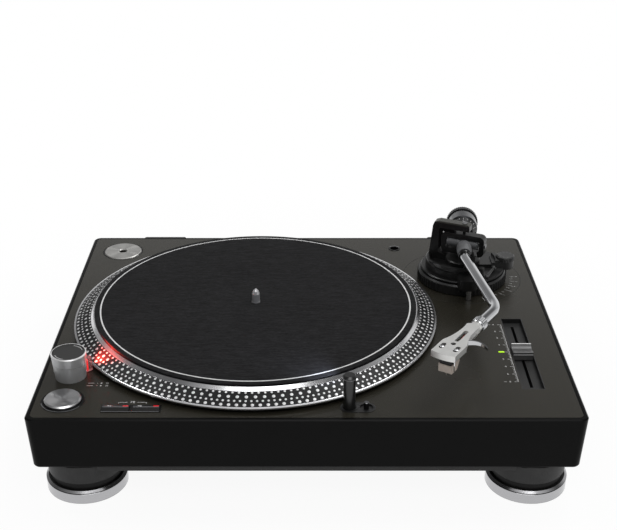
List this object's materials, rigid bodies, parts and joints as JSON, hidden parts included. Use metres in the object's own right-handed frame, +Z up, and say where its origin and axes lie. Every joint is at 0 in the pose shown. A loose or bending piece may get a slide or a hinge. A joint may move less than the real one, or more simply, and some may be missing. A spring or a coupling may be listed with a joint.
{
  "type": "dj turntable",
  "caption": "Direct-drive DJ turntable: plinth on levelling feet, strobe-rimmed platter with slipmat, S-shaped tonearm on a gimbal, tempo fader, start button, speed keys and pop-up lamp.",
  "frame": {"origin": "on the floor plane under the feet, below the middle of the overall width and depth", "axes": "+X to the right along the front, +Y to the rear, +Z up"},
  "size_m": [0.45, 0.368, 0.1414],
  "materials": {
    "plinth_black": "satin dark coating on a die-cast shell",
    "top_plate": "satin dark grey coating",
    "cover_steel": "black sheet metal",
    "screw_steel": "zinc-plated",
    "motor_steel": "bare plate with wound coils",
    "bearing_brass": "turned",
    "board": "circuit board",
    "black_plastic": "moulded, matt",
    "jack_metal": "plated",
    "trim_chrome": "polished",
    "cup_black": "moulded, matt",
    "lamp_trim": "smooth black",
    "tower_grey": "satin grey",
    "lens_red": "deep red, clear",
    "scale_black": "printed scale",
    "pillar_metal": "turned",
    "foot_rubber": "black body with polished bands",
    "platter_metal": "turned, polished edge, grey strobe band",
    "spindle_chrome": "polished",
    "magnet": "ring magnet",
    "felt": "pressed felt with a printed line",
    "adapter_metal": "turned, satin",
    "dial_grey": "satin grey with a bright rim",
    "button_metal": "satin with a polished edge",
    "key_metal": "satin",
    "lamp_black": "gloss black",
    "lamp_key": "polished",
    "fader_knob": "satin",
    "ring_black": "black, knurled",
    "base_black": "black, satin",
    "antiskate_black": "knurled",
    "lever_black": "black, satin",
    "hub_grey": "satin grey",
    "tube_chrome": "polished",
    "collar_metal": "knurled",
    "shell_silver": "satin",
    "cartridge_black": "moulded",
    "stylus_beige": "moulded",
    "sleeve_brass": "threaded",
    "weight_metal": "black knurled rim, polished band",
    "force_black": "numbered ring"
  },
  "bodies": {
    "base": {"plinth_shell": "plinth_black", "top_panel": "top_plate", "bottom_cover": "cover_steel", "cover_screws": "screw_steel", "motor_stator": "motor_steel", "spindle_bearing": "bearing_brass", "main_board": "board", "power_supply": "board", "jack_panel": "black_plastic", "rca_jacks": "jack_metal", "ac_inlet": "black_plastic", "hinge_sockets": "black_plastic", "fader_housing": "black_plastic", "pitch_well": "black_plastic", "key_bezel": "trim_chrome", "start_bezel": "trim_chrome", "adapter_cup": "cup_black", "headshell_socket": "trim_chrome", "lamp_plate": "lamp_trim", "strobe_tower": "tower_grey", "strobe_lens": "lens_red", "arm_scale_plate": "scale_black", "arm_pillar": "pillar_metal"},
    "front_left_foot": {"foot_front_left": "foot_rubber"},
    "front_right_foot": {"foot_front_right": "foot_rubber"},
    "rear_left_foot": {"foot_rear_left": "foot_rubber"},
    "rear_right_foot": {"foot_rear_right": "foot_rubber"},
    "platter_body": {"platter": "platter_metal", "spindle": "spindle_chrome", "rotor_magnet": "magnet"},
    "mat": {"slipmat": "felt"},
    "adapter": {"ep_adapter": "adapter_metal"},
    "dial": {"power_dial": "dial_grey"},
    "start": {"start_button": "button_metal"},
    "speed_33": {"key_33": "key_metal"},
    "speed_45": {"key_45": "key_metal"},
    "lamp": {"popup_lamp": "lamp_black"},
    "lamp_release": {"lamp_button": "lamp_key"},
    "fader": {"pitch_knob": "fader_knob"},
    "switch": {"output_switch": "black_plastic"},
    "ground": {"ground_nut": "jack_metal"},
    "ring": {"height_ring": "ring_black"},
    "arm_mount": {"arm_base": "base_black", "arm_frame": "base_black", "arm_rest": "black_plastic"},
    "antiskate": {"antiskate_dial": "antiskate_black"},
    "lever": {"cue_lever": "lever_black"},
    "lift_bar": {"cue_lift": "lever_black"},
    "clamp": {"arm_clamp": "black_plastic"},
    "gimbal": {"gimbal_ring": "base_black"},
    "arm": {"arm_hub": "hub_grey", "arm_tube": "tube_chrome", "headshell": "shell_silver", "finger_lift": "tube_chrome", "cartridge": "cartridge_black", "stylus": "stylus_beige"},
    "collar": {"head_collar": "collar_metal"},
    "sleeve": {"weight_sleeve": "sleeve_brass"},
    "weight": {"counterweight": "weight_metal"},
    "force": {"force_dial": "force_black"}
  },
  "joints": [
    {"name": "platter_spin", "type": "hinge", "parent": "base", "child": "platter_body", "pos_m": [-0.04659, -0.00909, 0.0932], "axis": [0, 0, -1], "continuous": true},
    {"name": "slipmat_spin", "type": "hinge", "parent": "platter_body", "child": "mat", "pos_m": [-0.04659, -0.00909, 0.0982], "axis": [0, 0, -1], "continuous": true},
    {"name": "adapter_lift", "type": "slide", "parent": "base", "child": "adapter", "axis": [0, 0, 1], "range_m": [0, 0.02]},
    {"name": "power_turn", "type": "hinge", "parent": "base", "child": "dial", "pos_m": [-0.19904, -0.11599, 0.0972], "axis": [0, 0, -1], "range_deg": [0, 60]},
    {"name": "start_press", "type": "slide", "parent": "base", "child": "start", "axis": [0, 0, -1], "range_m": [0, 0.0015], "stiffness_N_per_m": 900},
    {"name": "key33_press", "type": "slide", "parent": "base", "child": "speed_33", "axis": [0, 0, -1], "range_m": [0, 0.001], "stiffness_N_per_m": 900},
    {"name": "key45_press", "type": "slide", "parent": "base", "child": "speed_45", "axis": [0, 0, -1], "range_m": [0, 0.001], "stiffness_N_per_m": 900},
    {"name": "lamp_lower", "type": "slide", "parent": "base", "child": "lamp", "axis": [0, 0, -1], "range_m": [0, 0.027]},
    {"name": "lamp_press", "type": "slide", "parent": "base", "child": "lamp_release", "axis": [0, 0, -1], "range_m": [0, 0.003], "stiffness_N_per_m": 400},
    {"name": "pitch_slide", "type": "slide", "parent": "base", "child": "fader", "axis": [0, -1, 0], "range_m": [-0.047, 0.047]},
    {"name": "output_slide", "type": "slide", "parent": "base", "child": "switch", "axis": [1, 0, 0], "range_m": [0, 0.003]},
    {"name": "ground_turn", "type": "hinge", "parent": "base", "child": "ground", "pos_m": [0.0581, 0.17099, 0.0582], "axis": [0, 1, 0], "range_deg": [0, 720]},
    {"name": "front_left_foot_turn", "type": "hinge", "parent": "base", "child": "front_left_foot", "pos_m": [-0.18599, -0.14979, 0.0232], "axis": [0, 0, 1], "range_deg": [-360, 360]},
    {"name": "front_right_foot_turn", "type": "hinge", "parent": "base", "child": "front_right_foot", "pos_m": [0.18599, -0.14979, 0.0232], "axis": [0, 0, 1], "range_deg": [-360, 360]},
    {"name": "rear_left_foot_turn", "type": "hinge", "parent": "base", "child": "rear_left_foot", "pos_m": [-0.18599, 0.13479, 0.0232], "axis": [0, 0, 1], "range_deg": [-360, 360]},
    {"name": "rear_right_foot_turn", "type": "hinge", "parent": "base", "child": "rear_right_foot", "pos_m": [0.18599, 0.13479, 0.0232], "axis": [0, 0, 1], "range_deg": [-360, 360]},
    {"name": "ring_turn", "type": "hinge", "parent": "base", "child": "ring", "pos_m": [0.15339, 0.07439, 0.0882], "axis": [0, 0, 1], "range_deg": [0, 270]},
    {"name": "arm_height", "type": "slide", "parent": "base", "child": "arm_mount", "axis": [0, 0, 1], "range_m": [0, 0.006]},
    {"name": "antiskate_turn", "type": "hinge", "parent": "arm_mount", "child": "antiskate", "pos_m": [0.19549, 0.07549, 0.1032], "axis": [0, 0, 1], "range_deg": [0, 300]},
    {"name": "cue_turn", "type": "hinge", "parent": "arm_mount", "child": "lever", "pos_m": [0.17149, 0.04199, 0.0991], "axis": [0.8508, -0.5255, 0], "range_deg": [0, 75]},
    {"name": "cue_raise", "type": "slide", "parent": "arm_mount", "child": "lift_bar", "axis": [0, 0, 1], "range_m": [0, 0.0045]},
    {"name": "clamp_turn", "type": "hinge", "parent": "arm_mount", "child": "clamp", "pos_m": [0.15899, 0.04249, 0.1262], "axis": [0, 0, -1], "range_deg": [0, 85]},
    {"name": "arm_swing", "type": "hinge", "parent": "arm_mount", "child": "gimbal", "pos_m": [0.15339, 0.07439, 0.1202], "axis": [0, 0, -1], "range_deg": [0, 45]},
    {"name": "arm_lift", "type": "hinge", "parent": "gimbal", "child": "arm", "pos_m": [0.15339, 0.07439, 0.1202], "axis": [-0.9135, 0.4067, 0], "range_deg": [-0.7, 8]},
    {"name": "collar_turn", "type": "hinge", "parent": "arm", "child": "collar", "pos_m": [0.14532, -0.09695, 0.12215], "axis": [-0.5328, -0.8461, 0.0121], "range_deg": [0, 60]},
    {"name": "weight_slide", "type": "slide", "parent": "arm", "child": "sleeve", "axis": [0.0889, 0.996, -0.0116], "range_m": [-0.006, 0.006]},
    {"name": "weight_turn", "type": "hinge", "parent": "sleeve", "child": "weight", "pos_m": [0.1573, 0.11822, 0.11969], "axis": [0.0889, 0.996, -0.0116], "range_deg": [-1080, 1080]},
    {"name": "force_dial_turn", "type": "hinge", "parent": "sleeve", "child": "force", "pos_m": [0.15605, 0.10427, 0.11985], "axis": [0.0889, 0.996, -0.0116], "range_deg": [-180, 180]}
  ],
  "couplings": [
    {"joint": "arm_height", "follows": "ring_turn", "m_per_rad": 0.0012731},
    {"joint": "cue_turn", "follows": "cue_raise", "rad_per_m": 290.86},
    {"joint": "weight_slide", "follows": "weight_turn", "m_per_rad": 0.00031828}
  ]
}
